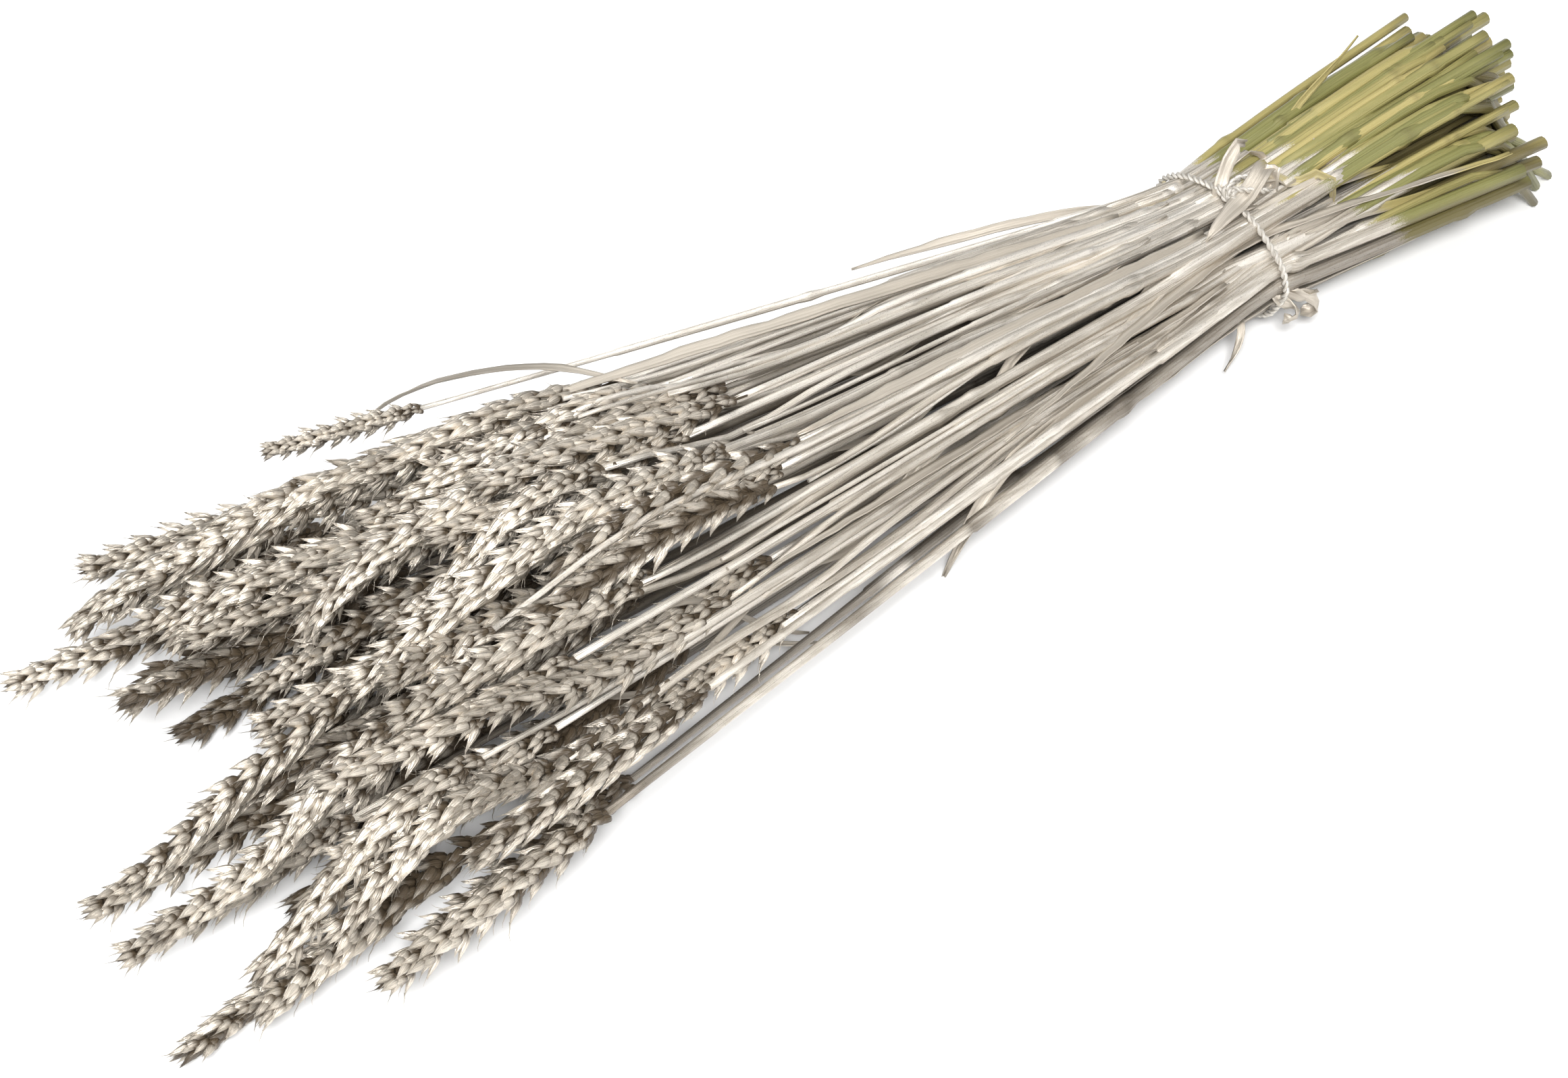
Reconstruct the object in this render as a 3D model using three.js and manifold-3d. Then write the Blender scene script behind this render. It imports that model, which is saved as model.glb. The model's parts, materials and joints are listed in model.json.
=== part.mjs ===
// A tied bunch of dried, silver-sprayed wheat that lies on a table, in millimetres with +Z up.
// X runs along the bunch: the ear tips are at -X and the cut straw ends at +X. Y runs across it.
// Each stalk is one piece that grew whole, ear and straw together. The stalks are laid in rows, pushed
// apart until none touch and let down onto the table, and one cord is drawn round them all.
import * as THREE from "three";
import { mergeVertices } from "three/addons/utils/BufferGeometryUtils.js";
import Module from "manifold-3d";

// Driving dimensions.
const BUNCH_LENGTH = 560; // foremost ear tip to the furthest cut end
const TIE_AT = 425; // foremost ear tip to the cord
// How far each ear tip lies behind the foremost one: one line per row of stalks, from the table up, and
// along each row from the near side (-Y) to the far side.
const EAR_TIPS = [
  [4, 50, 34, 64, 84, 58, 80, 110],
  [66, 22, 84, 50, 4, 74, 100, 54, 26, 90],
  [48, 138, 100, 0, 40, 84, 74, 44, 80, 56, 60],
  [84, 54, 128, 100, 62, 110, 64, 56, 100, 138],
  [60, 106, 94, 140, 98, 160, 148],
  [154, 144, 128, 150],
];
const STRAY = { column: 5.4, row: 3.1, tip: 122, earLength: 52, earRadius: 4.4 }; // thin, at the far edge
const TIE_PITCH = { across: 5.6, up: 5.6 }; // spacing of the stalks where the cord holds them
const TIE_OVAL = { halfWidth: 29.5, halfHeight: 19 }; // the oval that the cord draws them into
const FAN_OVAL = { halfWidth: 104, halfHeight: 50 }; // what that oval has opened to in the ears
const OVAL_FROM = 260; // the straw keeps to the oval from here to the cut
const EAR_PITCH = { across: 17.4, up: 14 }; // their spacing where the ears fan out
const CUT_FLARE = 1.62; // how much wider the cut ends stand than the tie
const EAR_LENGTH = { least: 74, most: 94 };
const EAR_RADIUS = { least: 6.0, most: 6.9 };
const EAR_ZONE_AT = 80; // where along the bunch the fan reaches its full width
const NECK_RADIUS = 1.2; // straw just under the ear
const STRAW_RADIUS = 2.5; // straw with its leaf sheath, from the tie to the cut
const STRAW_SIDES = 6;
const CUT_STAGGER = 20;
const NEAR_SIDE_CUT = 22; // how much shorter the stalks of the -Y edge are cut
const CORD_RADIUS = 1.1;
const GAP = 0.5; // left between neighbours
const LEAF_THICKNESS = 0.5;
const KNOT_AT = THREE.MathUtils.degToRad(96); // where round the bunch the cord is knotted, 0 facing +Y
const TIE_LEAF = { length: 38, width: 4.6, askew: 0.26 }; // the scrap of leaf caught over the knot

// Cross-sections in which the stalks are laid out: close together in the ears, wider along the straw.
const STATIONS = [
  -27, 0, 27, 54, 81, 108, 135, 162, 189, 216, 243, 285, 325, 362, 388, 408, TIE_AT, 439, 458, 488, 524, 565,
];
const TIE_STATION = STATIONS.indexOf(TIE_AT);
const SETTLING_ROUNDS = 1200;

const PAINT = { silver: 0xbfb8ad, straw: 0xa9a66f, cord: 0xb4afa6 };

// The same numbers on every run.
function seededRandom(seed) {
  let state = seed;
  return () => {
    state = (Math.imul(state, 1664525) + 1013904223) >>> 0;
    return state / 2 ** 32;
  };
}
const random = seededRandom(20);
const between = (low, high) => low + (high - low) * random();

// 0 at the tie, 1 in the ears, with a soft bend where the cord lets go.
function fanOut(x) {
  const along = (TIE_AT - x) / (TIE_AT - EAR_ZONE_AT);
  const bend = 0.06;
  const opened = x < TIE_AT ? Math.sqrt(along * along + bend * bend) - bend : 0;
  return Math.min(opened, 1.12);
}

// How much the straw has spread again on its way from the tie to the cut.
function flareOut(x) {
  return x > TIE_AT ? 1 + ((CUT_FLARE - 1) * (x - TIE_AT)) / (BUNCH_LENGTH - TIE_AT) : 1;
}

// Where a stalk would lie if the rows fanned out evenly. column counts from the middle, row from the table.
function evenPlace(column, row, x) {
  const fan = fanOut(x);
  const flare = flareOut(x);
  const across = TIE_PITCH.across * flare + (EAR_PITCH.across - TIE_PITCH.across) * fan;
  const up = TIE_PITCH.up * flare + (EAR_PITCH.up - TIE_PITCH.up) * fan;
  return { y: column * across, z: STRAW_RADIUS + row * up + 3 * fan };
}

// Radius of a stalk: the spindle of its ear, then straw that thickens towards the cut.
function stalkRadius(stalk, x) {
  const alongEar = (x - stalk.tip) / stalk.earLength;
  if (alongEar < 0) return 0.8;
  if (alongEar <= 1) {
    const swell = Math.pow(Math.sin(Math.PI * Math.pow(alongEar, 0.78)), 0.55);
    return Math.max(stalk.earRadius * swell, NECK_RADIUS);
  }
  const neck = stalk.tip + stalk.earLength;
  const thickening = Math.min((x - neck) / (TIE_AT - neck), 1);
  return NECK_RADIUS + (stalk.strawRadius - NECK_RADIUS) * thickening;
}

function makeStalks() {
  const stalks = [];
  const addStalk = (own) =>
    stalks.push({
      kind: "stalk",
      cut: BUNCH_LENGTH - CUT_STAGGER * random() - NEAR_SIDE_CUT * Math.max(0, -own.column / 5),
      earLength: between(EAR_LENGTH.least, EAR_LENGTH.most),
      earRadius: between(EAR_RADIUS.least, EAR_RADIUS.most),
      strawRadius: STRAW_RADIUS * between(0.9, 1.06),
      wander: between(-0.22, 0.22),
      lift: between(-0.2, 0.2),
      ...own,
    });
  EAR_TIPS.forEach((tips, row) => {
    tips.forEach((tip, i) => addStalk({ row, column: i - (tips.length - 1) / 2, tip }));
  });
  addStalk({ ...STRAY, strawRadius: 0.7 * STRAW_RADIUS });
  return stalks;
}

// Dried leaf blades that lie among the straw: where they run, and how wide they are.
function makeLeaves() {
  const blades = [
    { column: -3.6, row: 4.4, from: 205, to: 405, halfWidth: 2.2 },
    { column: -1.6, row: 5.9, from: 240, to: 410, halfWidth: 2.0 },
    { column: 3.4, row: 4.6, from: 175, to: 395, halfWidth: 2.2 },
    { column: 5.6, row: 2.4, from: 220, to: 490, halfWidth: 2.3 },
    { column: -5.9, row: 1.6, from: 270, to: 505, halfWidth: 2.4 },
    { column: -4.3, row: 4.5, from: 300, to: 520, halfWidth: 2.2 },
  ];
  return blades.map((blade) => ({ kind: "leaf", wander: 0, lift: 0, ...blade }));
}

const startOf = (strand) => (strand.kind === "stalk" ? strand.tip : strand.from);
const endOf = (strand) => (strand.kind === "stalk" ? strand.cut : strand.to);
const radiusOf = (strand, x) => (strand.kind === "stalk" ? stalkRadius(strand, x) : strand.halfWidth + 0.2);

// The room a strand needs at a station: its greatest radius a little way each side.
function roomOf(strand, x) {
  const near = [-15, -8, 0, 8, 15].map((step) => radiusOf(strand, x + step));
  return Math.max(...near) + GAP / 2;
}

// Gives every strand a y and z at each station that it crosses.
function layOut(strands) {
  for (const strand of strands) {
    strand.places = STATIONS.map((x, k) => {
      const past = k + 1 < STATIONS.length && STATIONS[k + 1] < startOf(strand);
      const beyond = k > 0 && STATIONS[k - 1] > endOf(strand);
      if (past || beyond) return null;
      const fan = fanOut(x);
      const even = evenPlace(strand.column + strand.wander * fan * 2, strand.row, x);
      const place = { y: even.y, z: even.z + strand.lift * 8 * fan };
      return { ...place, even: { ...place }, room: roomOf(strand, x) };
    });
  }
}

// Pushes apart every pair that is too close at one station.
function separate(strands, station) {
  const here = strands.map((s) => s.places[station]).filter(Boolean);
  for (let i = 0; i < here.length; i++)
    for (let j = i + 1; j < here.length; j++) {
      const a = here[i];
      const b = here[j];
      const dy = b.y - a.y;
      const dz = b.z - a.z;
      const least = a.room + b.room;
      const apart = Math.hypot(dy, dz) || 1e-6;
      if (apart >= least) continue;
      const push = (0.5 * (least - apart)) / apart;
      a.y -= dy * push;
      a.z -= dz * push;
      b.y += dy * push;
      b.z += dz * push;
    }
}

// Holds a strand inside the oval that the cord gives the bunch. slack is how much too wide it still is.
function drawIn(place, x, slack) {
  const fan = fanOut(x);
  const halfWidth = TIE_OVAL.halfWidth * flareOut(x) + (FAN_OVAL.halfWidth - TIE_OVAL.halfWidth) * fan;
  const halfHeight = TIE_OVAL.halfHeight * flareOut(x) + (FAN_OVAL.halfHeight - TIE_OVAL.halfHeight) * fan;
  const middle = halfHeight + 2 * CORD_RADIUS + GAP;
  const across = place.y / (halfWidth * slack - place.room);
  const up = (place.z - middle) / (halfHeight * slack - place.room);
  const outside = Math.hypot(across, up);
  if (outside <= 1) return;
  place.y /= outside;
  place.z = middle + (place.z - middle) / outside;
}

// Lets the strands down onto the table, draws them together at the tie and keeps each one supple.
function settle(strands) {
  const cordRoom = 2 * CORD_RADIUS + GAP;
  for (let round = 0; round < SETTLING_ROUNDS; round++) {
    const easing = Math.max(0, 1 - (1.25 * round) / SETTLING_ROUNDS);
    const stiffness = round < 0.93 * SETTLING_ROUNDS ? Math.max(0.4 * easing, 0.12) : 0;
    for (const { places } of strands)
      places.forEach((p, k) => {
        if (!p) return;
        const before = places[k - 1];
        const after = places[k + 1];
        if (before && after) {
          const share = (STATIONS[k] - STATIONS[k - 1]) / (STATIONS[k + 1] - STATIONS[k - 1]);
          p.y += stiffness * (before.y + (after.y - before.y) * share - p.y);
          p.z += stiffness * (before.z + (after.z - before.z) * share - p.z);
        }
        p.y += 0.03 * easing * (p.even.y - p.y);
        p.z += 0.015 * easing * (p.even.z - p.z) - 0.06 * easing;
      });
    for (const { places } of strands)
      places.forEach((p, k) => {
        if (p && STATIONS[k] >= OVAL_FROM) drawIn(p, STATIONS[k], 1 + 0.3 * easing);
      });
    STATIONS.forEach((_, k) => separate(strands, k));
    for (const { places } of strands)
      places.forEach((p, k) => {
        if (p) p.z = Math.max(p.z, p.room - GAP / 2 + (k === TIE_STATION ? cordRoom : 0));
      });
  }
}

// The centre of a strand at any x, straight between stations.
function centreAt(strand, x) {
  let k = STATIONS.findIndex(
    (station, n) => strand.places[n] && strand.places[n + 1] && STATIONS[n + 1] >= x,
  );
  if (k < 0) k = strand.places.findLastIndex((p, n) => p && strand.places[n - 1]) - 1;
  const a = strand.places[k];
  const b = strand.places[k + 1];
  const t = (x - STATIONS[k]) / (STATIONS[k + 1] - STATIONS[k]);
  return { y: a.y + (b.y - a.y) * t, z: a.z + (b.z - a.z) * t };
}

// Moves a straight shape that lies along X so that its axis follows the strand.
function bendAlong(geometry, strand) {
  const position = geometry.getAttribute("position");
  for (let i = 0; i < position.count; i++) {
    const centre = centreAt(strand, position.getX(i));
    position.setY(i, position.getY(i) + centre.y);
    position.setZ(i, position.getZ(i) + centre.z);
  }
  return geometry;
}

// A stalk: a profile turned round its own axis, then bent along its way through the bunch.
function stalkGeometry(stalk) {
  const neck = stalk.tip + stalk.earLength;
  const own = [stalk.tip + 1.5, stalk.tip + 7, stalk.tip + 16, neck - 14, neck - 4, neck + 3];
  const inside = STATIONS.filter((x) => x > stalk.tip + 4 && x < stalk.cut - 4);
  const kept = inside.filter((x) => own.every((o) => Math.abs(o - x) > 3));
  const along = [...own, ...kept].sort((a, b) => a - b);
  const profile = [
    new THREE.Vector2(0, stalk.tip),
    ...along.map((x) => new THREE.Vector2(stalkRadius(stalk, x), x)),
    new THREE.Vector2(stalk.strawRadius, stalk.cut),
    new THREE.Vector2(0, stalk.cut),
  ];
  const turned = new THREE.LatheGeometry(profile, STRAW_SIDES);
  turned.rotateZ(-Math.PI / 2);
  return bendAlong(turned, stalk);
}

// A leaf blade: a thin strip that narrows to both ends and turns slowly over.
function leafGeometry(leaf) {
  const length = leaf.to - leaf.from;
  const steps = Math.round(length / 9);
  const strip = new THREE.BoxGeometry(length, 2 * leaf.halfWidth, LEAF_THICKNESS, steps, 1, 1);
  const position = strip.getAttribute("position");
  for (let i = 0; i < position.count; i++) {
    const along = position.getX(i) / length + 0.5;
    const narrow = 0.15 + 0.8 * Math.pow(Math.sin(Math.PI * Math.min(Math.max(along, 0.02), 0.98)), 0.6);
    const turn = 0.5 * Math.sin(2 * Math.PI * along + leaf.column);
    const y = position.getY(i) * narrow;
    const z = position.getZ(i);
    position.setY(i, y * Math.cos(turn) - z * Math.sin(turn));
    position.setZ(i, y * Math.sin(turn) + z * Math.cos(turn));
  }
  strip.translate((leaf.from + leaf.to) / 2, 0, 0);
  return bendAlong(strip, leaf);
}

// The point where a taut loop round every strand at the tie faces a given direction.
function loopPoint(strands, angle, clearance) {
  const out = { y: Math.cos(angle), z: Math.sin(angle) };
  let best = null;
  for (const strand of strands) {
    const p = strand.places[TIE_STATION];
    if (!p) continue;
    const reach = p.y * out.y + p.z * out.z + p.room + clearance;
    if (!best || reach > best.reach) best = { reach, p };
  }
  const r = best.p.room + clearance;
  return { y: best.p.y + r * out.y, z: best.p.z + r * out.z };
}

const wasm = await Module();
wasm.setup();

function toSolid(geometry) {
  const bare = geometry.clone();
  bare.deleteAttribute("normal");
  bare.deleteAttribute("uv");
  const merged = mergeVertices(bare, 1e-3);
  return new wasm.Manifold(
    new wasm.Mesh({
      numProp: 3,
      vertProperties: merged.getAttribute("position").array,
      triVerts: new Uint32Array(merged.index.array),
    }),
  );
}

function toGeometry(solid) {
  const mesh = solid.getMesh();
  return new THREE.BufferGeometry()
    .setAttribute("position", new THREE.BufferAttribute(mesh.vertProperties, 3))
    .setIndex(new THREE.BufferAttribute(mesh.triVerts, 1));
}

// The cord: a ring bent round the outline of the bunch, with a knot and two short ends on top.
function cordGeometry(strands) {
  const ringRadius = 10;
  const ring = new THREE.TorusGeometry(ringRadius, CORD_RADIUS, 6, 44);
  const position = ring.getAttribute("position");
  for (let i = 0; i < position.count; i++) {
    const x = position.getX(i);
    const y = position.getY(i);
    const angle = Math.atan2(y, x);
    const outward = Math.hypot(x, y) - ringRadius;
    const point = loopPoint(strands, angle, CORD_RADIUS + 0.25);
    position.setXYZ(
      i,
      TIE_AT + position.getZ(i),
      point.y + outward * Math.cos(angle),
      point.z + outward * Math.sin(angle),
    );
  }
  const seat = loopPoint(strands, KNOT_AT, CORD_RADIUS);
  const knot = new THREE.IcosahedronGeometry(2.6, 1);
  knot.scale(1.2, 1, 0.8);
  knot.translate(TIE_AT, seat.y, seat.z + 1.2);
  const ends = [-1, 1].map((side) => {
    const end = new THREE.CylinderGeometry(0.8, CORD_RADIUS, 13, 6);
    end.rotateZ(side * 1.32);
    end.rotateX(side * 0.35);
    end.translate(TIE_AT - side * 7, seat.y + side * 1.2, seat.z + 2.4);
    return end;
  });
  const whole = [knot, ...ends].reduce((sum, piece) => sum.add(toSolid(piece)), toSolid(ring));
  return toGeometry(whole);
}

// A scrap of leaf that lies over the knot and droops to both sides of it.
function tieLeafGeometry(strands) {
  const { length, width, askew } = TIE_LEAF;
  const strip = new THREE.BoxGeometry(length, width, LEAF_THICKNESS, 8, 1, 1);
  const position = strip.getAttribute("position");
  for (let i = 0; i < position.count; i++) {
    const along = position.getX(i) / (length / 2);
    position.setY(i, position.getY(i) * (along < 0 ? 1 + 0.8 * along : 1 - 0.15 * along));
    position.setZ(i, position.getZ(i) - 1.4 * along * along);
  }
  strip.rotateZ(askew);
  const seat = loopPoint(strands, KNOT_AT, CORD_RADIUS);
  return strip.translate(TIE_AT, seat.y, seat.z + 4.6);
}

const silver = new THREE.MeshStandardMaterial({ color: PAINT.silver, roughness: 0.35, metalness: 0.8 });
const leafSilver = new THREE.MeshStandardMaterial({ color: PAINT.silver, roughness: 0.45, metalness: 0.7 });
const cordSilver = new THREE.MeshStandardMaterial({ color: PAINT.cord, roughness: 0.5, metalness: 0.7 });

const bunch = new THREE.Group();
const stalks = makeStalks();
const leaves = makeLeaves();
const strands = [...stalks, ...leaves];
layOut(strands);
settle(strands);

function addMesh(name, geometry, material) {
  const mesh = new THREE.Mesh(geometry, material);
  mesh.name = name;
  bunch.add(mesh);
}
const numbered = (name, index) => `${name}_${String(index + 1).padStart(2, "0")}`;
stalks.forEach((stalk, i) => addMesh(numbered("wheat_stalk", i), stalkGeometry(stalk), silver));
leaves.forEach((leaf, i) => addMesh(numbered("leaf_blade", i), leafGeometry(leaf), leafSilver));
addMesh("tie_leaf", tieLeafGeometry(strands), leafSilver);
addMesh("tie_cord", cordGeometry(strands), cordSilver);

// The origin is under the middle of the bunch, on the table.
const box = new THREE.Box3().setFromObject(bunch);
bunch.position.set(-(box.min.x + box.max.x) / 2, -(box.min.y + box.max.y) / 2, -box.min.z);

export default bunch;
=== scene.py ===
"""A tied bunch of dried, silver-sprayed wheat, lying on its side.

Each stalk is modelled straight, ear and straw, from husks that are shaped once and copied, and is then
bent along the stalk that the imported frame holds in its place.
"""

import json
import math
import random

import bmesh
import bpy
from mathutils import Matrix, Vector

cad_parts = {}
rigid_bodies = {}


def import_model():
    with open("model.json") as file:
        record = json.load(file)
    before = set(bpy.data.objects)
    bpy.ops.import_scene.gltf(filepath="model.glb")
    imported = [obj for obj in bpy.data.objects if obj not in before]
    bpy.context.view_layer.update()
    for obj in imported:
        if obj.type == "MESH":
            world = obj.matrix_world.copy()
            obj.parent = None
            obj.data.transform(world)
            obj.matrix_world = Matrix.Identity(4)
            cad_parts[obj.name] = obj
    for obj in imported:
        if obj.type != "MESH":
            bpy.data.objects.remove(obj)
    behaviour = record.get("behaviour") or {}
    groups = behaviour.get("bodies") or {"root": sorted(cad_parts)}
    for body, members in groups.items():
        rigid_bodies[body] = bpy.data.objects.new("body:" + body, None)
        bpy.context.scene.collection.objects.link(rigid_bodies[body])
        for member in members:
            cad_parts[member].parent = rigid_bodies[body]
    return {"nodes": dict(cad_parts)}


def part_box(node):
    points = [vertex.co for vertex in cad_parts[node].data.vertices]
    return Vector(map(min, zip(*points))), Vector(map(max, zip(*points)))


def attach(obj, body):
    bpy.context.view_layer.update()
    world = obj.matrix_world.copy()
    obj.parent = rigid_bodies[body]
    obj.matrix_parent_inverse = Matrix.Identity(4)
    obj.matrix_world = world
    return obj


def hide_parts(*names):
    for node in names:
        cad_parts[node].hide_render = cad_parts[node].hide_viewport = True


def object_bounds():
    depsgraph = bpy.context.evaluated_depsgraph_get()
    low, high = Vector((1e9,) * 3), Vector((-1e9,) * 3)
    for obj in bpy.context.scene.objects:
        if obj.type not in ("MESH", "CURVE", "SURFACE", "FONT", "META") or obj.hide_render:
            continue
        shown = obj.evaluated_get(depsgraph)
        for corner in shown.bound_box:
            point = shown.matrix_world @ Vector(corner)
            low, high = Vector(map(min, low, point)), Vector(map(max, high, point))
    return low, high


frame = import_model()
CAD_BOX = [list(corner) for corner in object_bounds()]

bl_info = {
    "name": "Wheat bunch",
    "version": (1, 0, 0),
    "blender": (4, 5, 0),
    "location": "3D View > Sidebar > Wheat",
    "description": "Models a tied bunch of dried wheat around its packed frame",
    "category": "Object",
}

MM = 0.001
TAU = 2 * math.pi

EAR_ZONE_X = -0.1  # across the widest part of the ears
CUT_X = CAD_BOX[1][0] - 0.02  # just before the first cut ends
TIE_X = (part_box("tie_cord")[0][0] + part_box("tie_cord")[1][0]) / 2
KNOT_AT = math.radians(96)  # where round the bunch the cord is knotted, 0 facing +Y


# Selecting, copying and joining


def select_only(*objects):
    """Selects these objects and nothing else, and makes the first one active."""
    for other in bpy.context.view_layer.objects:
        other.select_set(False)
    for chosen in objects:
        chosen.select_set(True)
    bpy.context.view_layer.objects.active = objects[0] if objects else None


def new_primitive(add, name, **settings):
    """Adds a primitive with nothing else selected, applies its place and names it."""
    select_only()
    add(**settings)
    thing = bpy.context.object
    thing.name = thing.data.name = name
    bpy.ops.object.transform_apply(location=True, rotation=True, scale=True)
    return thing


class Editing:
    """Edit mode on one object, with vertices selected by a test on their place."""

    def __init__(self, thing):
        self.thing = thing

    def __enter__(self):
        select_only(self.thing)
        bpy.ops.object.mode_set(mode="EDIT")
        bpy.ops.mesh.select_mode(type="VERT")
        return self

    def __exit__(self, *_):
        bpy.ops.object.mode_set(mode="OBJECT")

    def pick(self, test):
        """Selects the vertices whose place passes the test, with the edges and faces between them."""
        mesh = bmesh.from_edit_mesh(self.thing.data)
        for vert in mesh.verts:
            vert.select_set(test(vert.co))
        mesh.select_flush_mode()
        bmesh.update_edit_mesh(self.thing.data)

    def pick_edges(self, test):
        """Selects the edges whose two ends pass the test."""
        bpy.ops.mesh.select_mode(type="EDGE")
        mesh = bmesh.from_edit_mesh(self.thing.data)
        for edge in mesh.edges:
            edge.select_set(test(edge.verts[0].co, edge.verts[1].co))
        mesh.select_flush_mode()
        bmesh.update_edit_mesh(self.thing.data)


def shape_rings(thing, old, new):
    """Moves each ring of vertices along X and sizes it.

    old lists where each ring is and its radius. new lists where it goes, its half width along Y, its
    half depth along Z and how far it is lifted.
    """
    with Editing(thing) as edit:
        moves = list(zip(old, new))
        shift = 1000.0  # rings that are done wait out of the way of those still to be found
        for (place, radius), (goal, width, depth, lift) in moves:
            edit.pick(lambda co, place=place: abs(co.x - place) < 1e-5)
            centre = (place, 0, 0)
            if radius > 0:
                bpy.ops.transform.resize(value=(1, width / radius, depth / radius), center_override=centre)
            bpy.ops.transform.translate(value=(goal - place + shift, 0, lift))
        bpy.ops.mesh.select_all(action="SELECT")
        bpy.ops.transform.translate(value=(-shift, 0, 0))


def copy_of(thing, matrix, name=None):
    """A copy with its own mesh, with the matrix applied to it."""
    twin = thing.copy()
    twin.data = thing.data.copy()
    twin.data.transform(matrix)
    if name:
        twin.name = twin.data.name = name
    bpy.context.scene.collection.objects.link(twin)
    return twin


def joined(things, name):
    """Joins the objects into one."""
    select_only(*things)
    if len(things) > 1:
        bpy.ops.object.join()
    whole = bpy.context.object
    whole.name = whole.data.name = name
    return whole


def drop(*things):
    """Removes patterns that have been copied and aren't part of the bunch."""
    for thing in things:
        mesh = thing.data
        bpy.data.objects.remove(thing)
        bpy.data.meshes.remove(mesh)


def give(thing, material):
    """Makes this the object's only material."""
    thing.data.materials.clear()
    thing.data.materials.append(material)
    return thing


def smooth(thing):
    select_only(thing)
    bpy.ops.object.shade_smooth()
    return thing


def number_on(thing, name, values):
    """Stores one number for each vertex, for the material to read."""
    layer = thing.data.attributes.get(name) or thing.data.attributes.new(name, "FLOAT", "POINT")
    layer.data.foreach_set("value", values)


def bend_along(thing, points, twist="Z_UP"):
    """Bends an object that lies along X so that it follows the points."""
    curve = bpy.data.curves.new("way", "CURVE")
    curve.dimensions = "3D"
    curve.resolution_u = 10
    curve.twist_mode = twist
    line = curve.splines.new("BEZIER")
    line.bezier_points.add(len(points) - 1)
    for bend, place in zip(line.bezier_points, points):
        bend.co = place
        bend.handle_left_type = bend.handle_right_type = "AUTO"
    way = bpy.data.objects.new("way", curve)
    bpy.context.scene.collection.objects.link(way)
    follow = thing.modifiers.new("follow", "CURVE")
    follow.object = way
    follow.deform_axis = "POS_X"
    select_only(thing)
    bpy.ops.object.modifier_apply(modifier="follow")
    bpy.data.objects.remove(way)
    bpy.data.curves.remove(curve)
    return thing


def cut_lengthwise(thing, *cuts):
    """Divides every edge that runs along X, once for each number of cuts."""
    with Editing(thing) as edit:
        for number in cuts:
            edit.pick_edges(lambda a, b: abs(a.x - b.x) > 1e-6)
            bpy.ops.mesh.subdivide(number_cuts=number)


def twisted(thing, turns):
    """Twists an object about X, spread over its length."""
    twist = thing.modifiers.new("twist", "SIMPLE_DEFORM")
    twist.deform_method = "TWIST"
    twist.deform_axis = "X"
    twist.angle = turns * TAU
    select_only(thing)
    bpy.ops.object.modifier_apply(modifier="twist")
    return thing


def length_of(points):
    return sum((b - a).length for a, b in zip(points, points[1:]))


# Reading the frame


def rings_of(node):
    """The centre and radius of each ring of a stalk's vertices, from the ear tip to the cut."""
    places = {}
    for vert in frame["nodes"][node].data.vertices:
        places.setdefault(round(vert.co.x, 4), set()).add(tuple(round(c, 5) for c in vert.co))
    rings = []
    for x in sorted(places):
        ring = [Vector(place) for place in places[x]]
        centre = sum(ring, Vector()) / len(ring)
        radius = max((vert - centre).length for vert in ring)
        rings.append((centre, radius))
    return rings


def stalk_nodes():
    return sorted(node for node in frame["nodes"] if node.startswith("wheat_stalk"))


def between(a, b, part):
    return a + (b - a) * part


def eased(low, high, value):
    """0 below low, 1 above high and smooth between."""
    part = min(max((value - low) / (high - low), 0.0), 1.0)
    return part * part * (3 - 2 * part)


def drawn_in(x):
    """How far the cord draws the stalks in here: 1 at the cord, less past it and none in the ears."""
    before = eased(TIE_X - 0.11, TIE_X - 0.02, x)
    past = eased(TIE_X + 0.02, TIE_X + 0.06, x)
    return before * (1 - 0.7 * past)


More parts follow.
